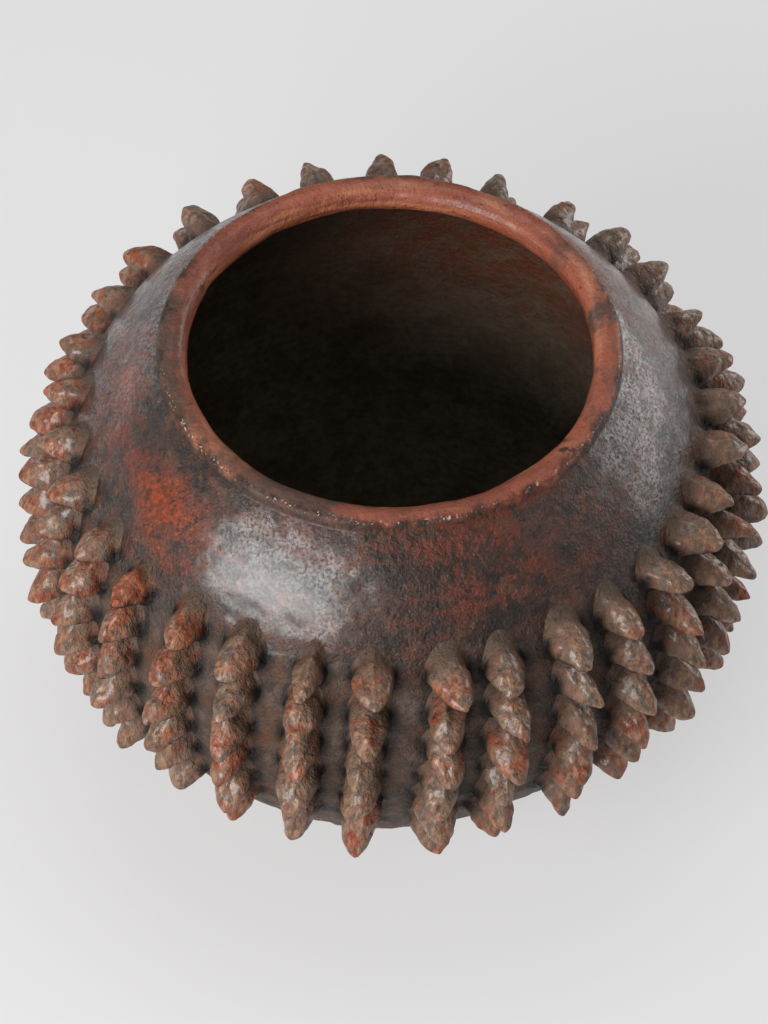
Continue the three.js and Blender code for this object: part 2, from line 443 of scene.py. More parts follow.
def innerGlow(azimuth, distance, p):
    turn = smoothStep(*p["turnSpan"], np.cos(azimuth - math.radians(p["azimuth"])))
    return turn * smoothStep(*p["risesOver"], distance) * (1 - smoothStep(*p["fadesOver"], distance))


def wallFields(azimuth, distance, inside):
    # The fields that the wall's finish reads. inside is 1 for the wall's inner face.
    points = onWall(azimuth, distance, 0)
    # Outside, sootAndShade is painted shade round the spikes' feet; inside, painted shade high on the inner
    # wall.
    if inside:
        fire, sootAndShade = innerGlow(azimuth, distance, innerRed), strongestAt(innerShade, azimuth, distance)
    else:
        fire, sootAndShade = strongestAt(fireClouds, azimuth, distance), footShadeAt(azimuth, distance)
    return {
        "burnish": burnishAt(points, distance) * (1 - inside),
        "fire": fire,
        "inside": np.full(points.shape[:2], inside),
        "sootAndShade": sootAndShade,
        "rubbed": strongestAt(rubbedPlaces, azimuth, distance) * (1 - inside),
    }


innerMarks = {  # pairs are the height and the size of the marks, in mm
    "coilWave": 0.25,
    "wobble": (0.9, 40),
    "strokes": (0.35, 4),
    "drawnOut": (0.1, 0.1, 1),
}


def innerWork(azimuth, distance):
    # The inside was only wiped with wet fingers, so the coils still show as low waves.
    m = innerMarks
    points = onWall(azimuth, distance, -wall["thickness"])
    drawn = points * np.array(m["drawnOut"])
    coilWave = m["coilWave"] * np.cos(2 * math.pi * distance / coilHeight)
    return coilWave + marks(points, 11, *m["wobble"]) + marks(drawn, 12, *m["strokes"])


def coilFace(distance, work, inside):
    # One face of a coil as a net of points, with a row more at each end to work out the normals at
    # the joints, so that the shading runs on unbroken into the next coil.
    step = distance[1] - distance[0]
    padded = np.concatenate([distance[:1] - step, distance, distance[-1:] + step])
    net = onWall(azimuths, padded, work(azimuths, padded) - inside * wall["thickness"])
    return net[1:-1], netNormals(net)[1:-1]


def makeCoil(index):
    # Each coil is a closed ring: rows down its outer face, then up its inner face. Neighbours share
    # the rows at their joint, so the wall shows as the one surface that wet hands made it.
    isFirst, isLast = index == 0, index == wall["coils"] - 1
    top = 0 if isLast else floorDistance - (index + 1) * coilHeight
    bottom = floorDistance - index * coilHeight
    insideTop = top if isLast else top + wall["scarfDrop"]
    insideBottom = bottom if isFirst else bottom + wall["scarfDrop"]
    outer = np.linspace(top, bottom, 1 + round(coilHeight / wallGrid["outerStep"]))[:, None]
    inner = np.linspace(insideBottom, insideTop, 1 + round(coilHeight / wallGrid["innerStep"]))[:, None]
    outside, outsideNormals = coilFace(outer, handWork, 0)
    inside, insideNormals = coilFace(inner, innerWork, 1)
    fields = [wallFields(azimuths, outer, 0), wallFields(azimuths, inner, 1)]
    points = np.concatenate([outside, inside])
    normals = np.concatenate([outsideNormals, insideNormals]).reshape(-1, 3)
    rows, columns = points.shape[:2]
    quads = gridFaces(rows, columns, 0, closed=True)
    joined = {key: np.concatenate([part[key] for part in fields]) for key in fields[0]}
    piece = makeMesh(f"wallCoil{index + 1}", points.reshape(-1, 3), quads, np.empty((0, 3), int), joined)
    band = np.arange(len(quads)) // columns
    isJoint = (band == len(outer) - 1) | (band == rows - 1)
    flat = np.empty(len(quads) * 3)
    piece.data.polygons.foreach_get("normal", flat)
    cornerNormals = np.where(isJoint[:, None, None], flat.reshape(-1, 1, 3), normals[quads])
    piece.data.normals_split_custom_set(cornerNormals.reshape(-1, 3).tolist())
    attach(piece, "root")
    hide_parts(f"wall_coil_{index + 1}")
    return piece


coils = [makeCoil(index) for index in range(wall["coils"])]
print("wall: eight coils")


# Floor: a pressed disc with its edge turned a little up the wall

floorPlan = {
    "rings": 30,
    "turnRows": 10,
    "hub": 3,  # innermost ring, mm
    "wobble": (0.35, 14),  # height and size of these marks, mm
    "grit": (0.12, 4),
    "footFlat": 0.5,  # mm up to which the foot stays flat
}


def makeFloor(p):
    # Rows run from the middle of the inside out to the wall, down the cut edge and the turned-up
    # outside, and back under the foot.
    point, _, out = wallAt(np.array(floorDistance))
    innerEdge = point - wall["thickness"] * out
    top = np.linspace(p["hub"], innerEdge[0] - wall["floorFillet"], p["rings"])
    inside = np.stack([top, np.full_like(top, wall["floorThickness"])])
    outside = wallAt(np.linspace(floorDistance, wallLength, p["turnRows"]))[0]
    under = np.linspace(wall["footRadius"], p["hub"], p["rings"])
    beneath = np.stack([under, np.zeros_like(under)])
    outline = np.concatenate([inside, innerEdge[:, None], outside, beneath[:, 1:]], axis=1)
    radius, height = outline[0][:, None], outline[1][:, None]
    points = placed(azimuths, radius, height)
    rough = marks(points, 21, *p["wobble"]) + marks(points, 22, *p["grit"])
    points[..., 2] += np.where(height > p["footFlat"], rough, 0)
    rows, columns = points.shape[:2]
    flat = np.concatenate([points.reshape(-1, 3), [[0, 0, wall["floorThickness"]], [0, 0, 0]]])
    quads = gridFaces(rows, columns, 0, closed=False)
    first, last = np.arange(columns), np.arange(columns) + (rows - 1) * columns
    fans = np.concatenate([
        fanFaces(first, rows * columns, flipped=True),
        fanFaces(last, rows * columns + 1, flipped=False),
    ])
    insideField = np.zeros((rows, columns))
    insideField[: p["rings"] + 1] = 1
    fields = {field: np.zeros(len(flat)) for field in ("burnish", "fire", "sootAndShade", "rubbed")}
    fields["inside"] = np.append(insideField.ravel(), [1, 0])
    piece = makeMesh("floorDisc", flat, quads, fans, fields)
    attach(piece, "root")
    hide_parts("floor_disc")
    return piece


floorDisc = makeFloor(floorPlan)
print("floor: pressed disc")


# Lip: one thick coil over the wall's end, smoothed down inside and out

# Where the lip is darkened as painted shade, at its front and sides, so that its back stays
# lightest. Here the distance is the place across the lip, from 0 at the end of its outer skirt to 40
# at the end of the inner one.

lipAcross = 40
lipShadePlaces = [
    (-28, 20, 26, 60, 0.85), (12, 20, 16, 60, 0.35), (100, 20, 6, 60, 0.75), (75, 20, 26, 60, 0.4),
    (-80, 6, 34, 11, 1), (125, 20, 6, 60, 0.45),
]

lip = {  # lengths in mm
    "width": 15.6,
    "proud": 7.4,
    "overhang": 2.6,
    "skirt": 5.5,  # how far it was smoothed down over the shoulder
    "skirtSunk": 0.15,  # its thin end lies this deep in the wall
    "innerSkirt": 14,
    "rows": 44,
    "skirtRows": 8,
    "bumps": (0.65, 30),  # height and size of these marks
    "smallBumps": (0.36, 11),
    "grit": (0.1, 4),
    "bumpsSpan": (0.12, 0.88),  # this and the next ones are shares of the way across
    "wallWorkTo": 0.4,  # where the wall's own marks have died out
    "sootSpan": (0.8, 0.97),  # where the inside's soot starts and is full
    "dull": 0.9,  # less burnish in the groove beside the shoulder
    "dullTo": 0.05,
    "bright": 0.4,  # more of it on the crown
    "brightSpan": (0.2, 0.4),
    "shadedTo": 0.6,  # share of the skirt shaded as the wall is
}


def lipOutline(p):
    # Half an ellipse round the wall's cut end. Outside and inside it runs on as a skirt that thins
    # softly to nothing.
    point, down, out = wallAt(np.array(0.0))
    bed = point[:, None]
    turn = np.linspace(0, math.pi, p["rows"])
    across = p["overhang"] - p["width"] / 2 + (p["width"] / 2) * np.cos(turn)
    bead = bed - down[:, None] * p["proud"] * np.sin(turn) + out[:, None] * across
    left = np.linspace(0, 1, p["skirtRows"], endpoint=False)
    outerPoint, _, outerOut = wallAt(p["skirt"] * (1 - left))
    outerSkirt = outerPoint + outerOut * (p["overhang"] * smoothStep(0, 1, left) - p["skirtSunk"])
    innerOverhang = p["width"] - p["overhang"] - wall["thickness"]
    right = 1 - np.linspace(0, 1, p["skirtRows"] + 1)[1:]
    innerPoint, _, innerOut = wallAt(p["innerSkirt"] * (1 - right))
    innerSkirt = innerPoint - innerOut * (wall["thickness"] + innerOverhang * smoothStep(0, 1, right))
    return np.concatenate([outerSkirt, bead, innerSkirt], axis=1)


def makeLip(p):
    # The outline carried round the pot. Its rows run up the outside and down the inside, so its
    # quads are turned over, and each point moves along the outline's normal by the hand's bumps.
    outline = lipOutline(p)
    radius, height = outline[0][:, None], outline[1][:, None]
    flat = placed(azimuths, radius, height)
    count = outline.shape[1]
    along = np.gradient(outline, axis=1)
    along /= np.hypot(*along)
    normal = np.stack([along[1], -along[0]])
    share = np.arange(count)[:, None] / (count - 1)
    bumpsFrom, bumpsTo = p["bumpsSpan"]
    fade = smoothStep(0, bumpsFrom, share) * (1 - smoothStep(bumpsTo, 1, share))
    left = np.arange(p["skirtRows"]) / p["skirtRows"]
    under = np.zeros((count, 1))
    under[: p["skirtRows"], 0] = p["skirt"] * (1 - left)
    bumps = marks(flat, 41, *p["bumps"]) + marks(flat, 42, *p["smallBumps"]) + marks(flat, 43, *p["grit"])
    wallWork = handWork(azimuths, under) * (1 - smoothStep(0, p["wallWorkTo"], share))
    offset = bumps * fade + wallWork
    points = placed(azimuths, radius + normal[0][:, None] * offset, height + normal[1][:, None] * offset)
    rows, columns = points.shape[:2]
    quads = gridFaces(rows, columns, 0, closed=True)[:, ::-1]
    shares = np.broadcast_to(share, (rows, columns))
    dull = p["dull"] * smoothStep(0, p["dullTo"], shares)
    fields = {
        "across": shares,
        "fire": strongestAt(fireClouds, azimuths, under),
        "inside": smoothStep(*p["sootSpan"], shares),
        "burnish": 1 - dull + p["bright"] * smoothStep(*p["brightSpan"], shares),
        # painted shade of the lip, by azimuth
        "lipShade": strongestAt(lipShadePlaces, azimuths, lipAcross * share),
    }
    piece = makeMesh("lipRoll", points.reshape(-1, 3), quads, np.empty((0, 3), int), fields)
    # Where the skirt thins out it is shaded as the wall is, so that no line shows.
    normals = -netNormals(points)
    _, wallNormals = coilFace(p["skirt"] * (1 - left[::-1, None]), handWork, 0)
    onLip = smoothStep(0, p["shadedTo"], left)[:, None, None]
    blended = onLip * normals[: p["skirtRows"]] + (1 - onLip) * wallNormals[::-1]
    normals[: p["skirtRows"]] = blended / np.linalg.norm(blended, axis=-1, keepdims=True)
    piece.data.normals_split_custom_set(normals.reshape(-1, 3)[quads].reshape(-1, 3).tolist())
    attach(piece, "root")
    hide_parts("lip_roll")
    return piece


lipRoll = makeLip(lip)
print("lip: rolled coil")


# Spikes, each pinched between finger and thumb

firing = {
    "leftSpan": (0.3, 0.9),  # as backSpan above
    "left": 0.52,
    "leftFall": 0.06,  # less with each row down on the left
    "rise": 0.08,  # more with each row down elsewhere
    "chance": 0.25,
    "crumbled": 0.6,  # more where the orange body is bare
}


def warmthAt(azimuth, row, chance):
    # The fire left the spikes redder on the left, most of all in the first row, and elsewhere in the
    # lower rows, each by its own amount.
    f = firing
    left = smoothStep(*f["leftSpan"], -np.sin(azimuth))
    return (f["left"] - f["leftFall"] * row) * left + f["rise"] * row * (1 - left) + chance


def makeColumn(column, p):
    # All six spikes of a column at once. Over the wall's own net of azimuth and distance, a spike is
    # a stack of rings whose middle bends down and to one side with the square of the height, and
    # whose size falls off to a blunt tip. A quarter-round fillet spreads its foot into the wall.
    rng = np.random.default_rng(p["seed"] + column)
    count = p["rows"]
    row = np.arange(count)[:, None, None]
    plan = {key: values[:, None, None] for key, values in columnPlans[column].items()}
    middle, halfWidth, lean = plan["middle"], plan["halfWidth"], plan["lean"]
    bend = math.radians(p["droop"])
    droop, reach = plan["length"] * math.sin(bend), plan["length"] * math.cos(bend)

    theta = np.linspace(0, 2 * math.pi, p["around"], endpoint=False)[None, None, :]
    foot = np.array(p["footRings"])
    quarter = np.linspace(0, math.pi / 2, p["along"])[1:]
    upper = foot[-1] + (p["lastRing"] - foot[-1]) * np.sin(quarter)
    share = np.concatenate([foot, upper])[None, :, None]
    upward, downward = np.maximum(-np.sin(theta), 0), np.maximum(np.sin(theta), 0)
    flank = (1 - share ** rng.uniform(*p["flankCurve"], (count, 1, 1))) ** p["tipBluntness"]
    ramp = (1 - share ** p["upperCurve"]) ** p["upperBluntness"]
    taper = flank + (ramp - flank) * upward ** 2
    fillet = p["fillet"] + np.where(row == 0, p["firstFillet"], p["upperFillet"]) * upward ** 2
    rise = reach * share
    inFillet = np.clip(fillet - rise, 0, None)
    spread = fillet - np.sqrt(np.clip(fillet ** 2 - inFillet ** 2, 0, None))

    # Pinched flats: each spike is cut back softly by the thumb on top and on its upper sides, the
    # fingers at its sides and the bend below, each at its own angle and depth.
    flats = np.zeros((count, 1, p["around"]))
    for lead, error, least, most in p["flats"].values():
        angle = lead + error * rng.uniform(-1, 1, (count, 1, 1))
        depth = rng.uniform(least, most, (count, 1, 1))
        flats = flats + (np.maximum(np.cos(theta - angle), 0) / depth) ** p["flatEdge"]
    cut = (1 + flats) ** (-1 / p["flatEdge"]) * p["stouter"]

    upperFoot = p["upperFoot"] * np.where(row == 0, p["firstHead"], 1)
    halfFoot = upperFoot * upward + p["lowerFoot"] * downward
    radius = wallAt(middle)[0][0]

    def ringPlace(swelling):
        # Azimuth and distance of the rings' points. swelling widens a ring where its bumps are.
        across = lean * share ** 2 + (halfWidth * taper * cut + spread) * np.cos(theta) * swelling
        foot = halfFoot * taper * cut + spread * np.abs(np.sin(theta))
        along = droop * share ** 2 + foot * np.sign(np.sin(theta)) * swelling
        return plan["azimuth"] + across / radius, middle + along

    rough = onWall(*ringPlace(1), rise)
    lift = smoothStep(0, p["liftTo"], rise)
    crumbled = np.array([(column, place) in p["crumbled"] for place in range(count)])[:, None, None]
    fine = marks(rough, 52, *p["fineBumps"]) + marks(rough, 53, *p["grit"])
    bumps = marks(rough, 51, *p["bumps"]) + fine * (1 + p["crumbling"] * crumbled)
    azimuth, distance = ringPlace(1 + lift * bumps / np.maximum(halfWidth * taper, p["slimmest"]))
    skin = handWork(azimuth, distance)
    sunk = p["sunk"] * (1 - smoothStep(0, p["sunkTo"], rise))
    rings = onWall(azimuth, distance, rise + skin - sunk + lift * marks(rough, 54, *p["skin"]))

    rootRing = onWall(azimuth[:, :1], distance[:, :1], skin[:, :1] - p["root"])
    rings = np.concatenate([rootRing, rings], axis=1)
    rows, columns = rings.shape[1:3]
    tips = rings[:, -1].mean(axis=1) + p["tipStep"] * (rings[:, -1] - rings[:, -2]).mean(axis=1)
    roots = onWall(plan["azimuth"], middle, -p["root"] - p["rootDip"])
    perSpike = rows * columns + 2
    points = [rings.reshape(count, -1, 3), tips[:, None], roots.reshape(count, 1, 3)]
    points = np.concatenate(points, axis=1).reshape(-1, 3)
    quads, fans = [], []
    for start in range(0, count * perSpike, perSpike):
        first = start + np.arange(columns)
        quads.append(gridFaces(rows, columns, start, closed=False))
        fans.append(fanFaces(first, start + rows * columns + 1, flipped=True))
        fans.append(fanFaces(first + (rows - 1) * columns, start + rows * columns, flipped=False))

    def perVertex(values, tip, root):
        # Values in the vertices' order: the first ring's for the root's ring too, then tip and root.
        grid = np.broadcast_to(values, (count, rows - 1, columns))
        grid = np.concatenate([grid[:, :1], grid], axis=1).reshape(count, -1)
        ends = np.broadcast_to(np.array([tip, root], float), (count, 2))
        return np.concatenate([grid, ends], axis=1).ravel()

    chance = rng.uniform(-firing["chance"], firing["chance"], count)
    chance = chance + firing["crumbled"] * crumbled.ravel()
    heat = warmthAt(columnPlans[column]["azimuth"], np.arange(count), chance)
    # under and below feed the painted shade on the spikes' undersides and in the hollows between them
    fields = {
        "reach": perVertex(share, 1, 0),
        "under": perVertex(downward * lift, 0, 0),
        "top": perVertex(upward, 0, 0),
        "warmth": np.repeat(heat, perSpike),
        "below": perVertex(smoothStep(*p["lowWall"], distance), 1, 1),
    }
    name = f"spikeColumn{column + 1:02d}"
    piece = makeMesh(name, points, np.concatenate(quads), np.concatenate(fans), fields)
    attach(piece, "root")
    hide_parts(f"spike_column_{column + 1:02d}")
    return piece


spikeColumns = [makeColumn(column, spikes) for column in range(spikes["columns"])]
print("spikes: thirty-two columns of six")


# Materials

def toLinear(hexColour):
    parts = [int(hexColour[i:i + 2], 16) / 255 for i in (1, 3, 5)]
    return [p / 12.92 if p <= 0.04045 else ((p + 0.055) / 1.055) ** 2.4 for p in parts] + [1]


def feed(tree, node, sockets):
    # sockets maps an input's name or number to a value, a hex colour or a link.
    for key, value in sockets.items():
        if isinstance(value, bpy.types.NodeSocket):
            tree.links.new(value, node.inputs[key])
        else:
            node.inputs[key].default_value = toLinear(value) if isinstance(value, str) else value


def addNode(tree, kind, sockets, **settings):
    node = tree.nodes.new(kind)
    for key, value in settings.items():
        setattr(node, key, value)
    feed(tree, node, sockets)
    return node


def newMaterial(name, fields=()):
    # A material with its shader, its Object coordinates and the surface's own fields.
    material = bpy.data.materials.new(name)
    material.use_nodes = True
    tree = material.node_tree
    tree.nodes.clear()
    shader = addNode(tree, "ShaderNodeBsdfPrincipled", {})
    addNode(tree, "ShaderNodeOutputMaterial", {"Surface": shader.outputs["BSDF"]})
    place = addNode(tree, "ShaderNodeTexCoord", {}).outputs["Object"]
    read = [addNode(tree, "ShaderNodeAttribute", {}, attribute_name=field).outputs["Fac"] for field in fields]
    return material, tree, shader, place, *read


def drawnOut(tree, place, scale):
    # Coordinates for marks that a wiping or dragging hand drew out along one direction.
    return addNode(tree, "ShaderNodeMapping", {"Vector": place, "Scale": scale}).outputs["Vector"]


def patches(tree, place, size, low, high, seed, strength=1.0, detail=4):
    # A mask of soft-edged patches, size mm across, where a random field rises from low to high. It
    # reaches up to the strength, and detail is the number of finer fields on top.
    noise = addNode(tree, "ShaderNodeTexNoise",
                    {"Vector": place, "Scale": 1000 / size, "Detail": detail, "Roughness": 0.6, "W": seed},
                    noise_dimensions="4D")
    return addNode(tree, "ShaderNodeMapRange",
                   {"Value": noise.outputs[0], "From Min": low, "From Max": high, "To Max": strength},
                   interpolation_type="SMOOTHSTEP").outputs["Result"]


def overlap(tree, *masks):
    # High where all the masks are. One given as (value, low, high) first rises from 0 to 1 between
    # low and high, or falls where low is the greater.
    joined = 1.0
    for mask in masks:
        if isinstance(mask, tuple):
            value, low, high = mask
            mask = addNode(tree, "ShaderNodeMapRange", {"Value": value, "From Min": low, "From Max": high},
                           interpolation_type="SMOOTHSTEP").outputs["Result"]
        joined = addNode(tree, "ShaderNodeMath", {0: joined, 1: mask}, operation="MULTIPLY").outputs[0]
    return joined


def gather(tree, *amounts):
    # The sum of masks and plain amounts.
    total = 0.0
    for amount in amounts:
        total = addNode(tree, "ShaderNodeMath", {0: total, 1: amount}, operation="ADD").outputs[0]
    return total


def coats(tree, ground, *layers):
    # Coats of slip, smoke, wear and painted shade over the ground colour, each as (colour, mask).
    for colour, mask in layers:
        sockets = {"Fac": mask, "Color1": ground, "Color2": colour}
        ground = addNode(tree, "ShaderNodeMixRGB", sockets).outputs["Color"]
    return ground


def relief(tree, shader, heights):
    # Stacks fine reliefs, each as (height mask, depth in mm), under the shader's normal.
    sockets = {}
    for height, depth in heights:
        sockets.update({"Height": height, "Distance": depth * mm, "Strength": 1.0})
        sockets = {"Normal": addNode(tree, "ShaderNodeBump", sockets).outputs["Normal"]}
    feed(tree, shader, sockets)


# The clay's grit is about half a millimetre, one pixel of the picture, so the finest grains, pits and
# specks are drawn 1.1 to 1.8 mm across. The marks of wiping and pinching are about 1 mm apart and are
# drawn at 1.7 to 3 mm.

# specksAndShade gives random dark specks and also the painted shade round the spikes' feet and high inside.
wallColours = {
    "black": "#17100B", "brown": "#382117", "umber": "#50301D", "rust": "#5A220A", "ember": "#7E330A",
    "redBrown": "#562512", "belly": "#534238", "bellyDark": "#32271F", "dust": "#7A6A5C", "specksAndShade": "#120D0B",
    "sootAndShade": "#7C7360", "sootRed": "#7E3F28",
}


def shoulderColour(tree, c, place, fire):
    # Dark iron slip, mottled and streaked, with the fire's rust clouds and black specks of smoke.
    strokes = drawnOut(tree, place, (0.09, 0.09, 1))
    dark = coats(tree, c["black"],
                 (c["brown"], patches(tree, place, 30, 0.38, 0.6, 1)),
                 (c["umber"], patches(tree, place, 9, 0.5, 0.68, 12)),
                 (c["redBrown"], patches(tree, strokes, 7, 0.5, 0.7, 2)))
    cloud = gather(tree, fire,
                   patches(tree, place, 16, 0.3, 0.7, 3, 0.4),
                   patches(tree, place, 6, 0.3, 0.7, 27, 0.3),
                   patches(tree, place, 2.5, 0.3, 0.7, 4, 0.3))
    rust = coats(tree, c["rust"], (c["ember"], patches(tree, place, 2.6, 0.4, 0.62, 5)))
    return coats(tree, dark,
                 (c["redBrown"], overlap(tree, (cloud, 0.6, 0.95))),
                 (rust, overlap(tree, (cloud, 1.0, 1.22))),
                 (c["black"], patches(tree, place, 7, 0.54, 0.66, 19, 0.85)),
                 (c["black"], patches(tree, place, 1.8, 0.53, 0.64, 6, 0.85)))


stoneFinish = {
    "roughness": 0.3,
    "unburnished": 0.2,  # rougher where the stone didn't reach
    "insideRougher": 0.15,
    "coatRoughness": 0.21,
    "specular": 0.3,
    "grainShine": 0.35,  # least shine on a grain
    "pits": 0.06,  # shine in the pits
    "rubbedPits": 0.62,  # more of it where the stone rubbed longest
    "pressedFlat": -0.68,  # change of the relief there
    "gritDepth": 0.32,  # mm
    "pebbleDepth": 0.6,
    "waveDepth": 0.25,
}


def stoneRubbed(tree, shader, place, burnish, rubbed, inside):
    # The stone's shine lies on the high grains and misses the pits between them. Where it rubbed
    # longest the grains are pressed flat and run together into one bright skin.
    f = stoneFinish
    rough = gather(tree, overlap(tree, (burnish, 1, 0), f["unburnished"]),
                   patches(tree, place, 2.4, 0.35, 0.7, 14, 0.16),
                   f["roughness"], overlap(tree, inside, f["insideRougher"]))
    grains = overlap(tree, patches(tree, place, 1.5, 0.36, 0.6, 18),
                     gather(tree, f["grainShine"], patches(tree, place, 6, 0.36, 0.6, 28, 0.65)))
    least = gather(tree, f["pits"], overlap(tree, rubbed, f["rubbedPits"]))
    shine = addNode(tree, "ShaderNodeMapRange", {"Value": grains, "To Min": least, "To Max": 1.0})
    feed(tree, shader, {
        "Roughness": rough, "Specular IOR Level": f["specular"],
        "Coat Weight": overlap(tree, burnish, shine.outputs["Result"]), "Coat Roughness": f["coatRoughness"],
    })
    proud = gather(tree, 1.0, overlap(tree, rubbed, f["pressedFlat"]))
    grit = patches(tree, place, 1.2, 0.25, 0.75, 10, detail=3)
    pebbles = patches(tree, place, 3.2, 0.25, 0.75, 20, detail=3)
    waves = patches(tree, place, 9, 0.25, 0.75, 15, detail=2)
    relief(tree, shader, [
        (overlap(tree, grit, proud), f["gritDepth"]),
        (overlap(tree, pebbles, proud), f["pebbleDepth"]),
        (waves, f["waveDepth"]),
    ])


def burnishedSlip(c):
    # Smoked earthenware: slip rubbed with a stone until it shines, over a pebbled grit, which gives a
    # broken, silvery gleam on near black. Below the burnish it was only wiped, so it stays dull. Round
    # the spikes' feet, and high on the inner wall, the near black is painted shade. The reddest clay of
    # the fire's clouds took no shine.
    fields = ("burnish", "fire", "inside", "sootAndShade", "rubbed")
    material, tree, shader, place, burnish, fire, inside, sootAndShade, rubbed = newMaterial("burnishedSlip", fields)
    belly = coats(tree, c["belly"],
                  (c["bellyDark"], patches(tree, place, 12, 0.4, 0.62, 7, 0.75)),
                  (c["umber"], patches(tree, place, 20, 0.45, 0.65, 13)),
                  (c["bellyDark"], patches(tree, place, 3, 0.48, 0.62, 16, 0.5)),
                  (c["dust"], patches(tree, place, 1.6, 0.54, 0.7, 8, 0.22)))
    red = overlap(tree, gather(tree, 0.5, patches(tree, place, 14, 0.35, 0.6, 9, 0.5)), fire)
    wiped = drawnOut(tree, place, (0.2, 0.2, 1))
    darkTone = coats(tree, c["sootAndShade"],
                   (c["bellyDark"], patches(tree, place, 30, 0.42, 0.62, 11, 0.4)),
                   (c["sootRed"], red),
                   (c["bellyDark"], patches(tree, wiped, 1.8, 0.42, 0.68, 42, 0.25)),
                   (c["specksAndShade"], patches(tree, place, 4, 0.42, 0.62, 43, 0.2)))
    colour = coats(tree, belly,
                   (shoulderColour(tree, c, place, fire), burnish),
                   (darkTone, inside),
                   # painted shade: near black round the spikes' feet, and high on the inner wall
                   (c["specksAndShade"], overlap(tree, sootAndShade, patches(tree, place, 5, 0.12, 0.45, 17, detail=2))))
    feed(tree, shader, {"Base Color": colour})
    shining = overlap(tree, burnish, (fire, 1.1, 0.35))
    stoneRubbed(tree, shader, place, shining, rubbed, inside)
    return material


lipColours = {
    "terracotta": "#8E4B35", "deep": "#673124", "grey": "#4E3A2F", "cream": "#A39580", "worn": "#A4684A",
    "spot": "#1D1411",
}
lipRubbed = 0.3  # how far the stone pressed the lip's grains flat, all over


def burnishedLip(c):
    # Red slip rubbed smooth on the lip, which gives it a warm, even sheen. It is painted darker at its
    # front and sides as painted shade, and runs out into the shoulder's dark slip. In the groove between
    # the two, grains of pale grit show.
    fields = ("across", "fire", "burnish", "inside", "lipShade")
    material, tree, shader, place, across, fire, burnish, inside, lipShade = newMaterial("burnishedLip", fields)
    strokes = drawnOut(tree, place, (0.09, 0.09, 1))
    ragged = gather(tree, across, patches(tree, place, 11, 0.3, 0.7, 25, 0.18), -0.09)
    grit = overlap(tree, (across, 0.11, 0.14), (across, 0.2, 0.16),
                   patches(tree, place, 1.1, 0.6, 0.66, 26, detail=1),
                   patches(tree, place, 30, 0.36, 0.5, 30, detail=1))
    # painted shade on the lip's front and sides, broken into patches
    darkTone = gather(tree, lipShade, patches(tree, place, 6, 0.3, 0.7, 22, 0.5))
    colour = coats(tree, c["terracotta"],
                   (c["deep"], patches(tree, strokes, 8, 0.42, 0.68, 21)),
                   (c["worn"], patches(tree, strokes, 5, 0.46, 0.66, 29)),
                   # grey as the colour of the painted shade
                   (c["grey"], overlap(tree, (darkTone, 0.4, 1.15))),
                   (c["spot"], patches(tree, place, 12, 0.63, 0.72, 23)),
                   (c["spot"], patches(tree, place, 1.8, 0.62, 0.7, 24)),
                   (shoulderColour(tree, wallColours, place, fire), overlap(tree, (ragged, 0.24, 0.08))),
                   (c["cream"], grit),
                   (c["spot"], inside))
    feed(tree, shader, {"Base Color": colour})
    stoneRubbed(tree, shader, place, burnish, lipRubbed, inside)
    return material


# specksAndShade gives dark drag specks and also the painted shade under and between the spikes
clayColours = {
    "olive": "#5E4B3B", "brown": "#6C4C3C", "grey": "#4C433B", "orange": "#844125", "ember": "#622C18",
    "specksAndShade": "#0F0B09", "worn": "#957357", "slip": "#46362B",
}
clayFinish = {
    "roughness": 0.45,
    "coatRoughness": 0.22,
    "specular": 0.25,
    "tipWarmer": 0.25,
    "lumpDepth": 0.9,  # mm
    "dragDepth": 0.46,
}


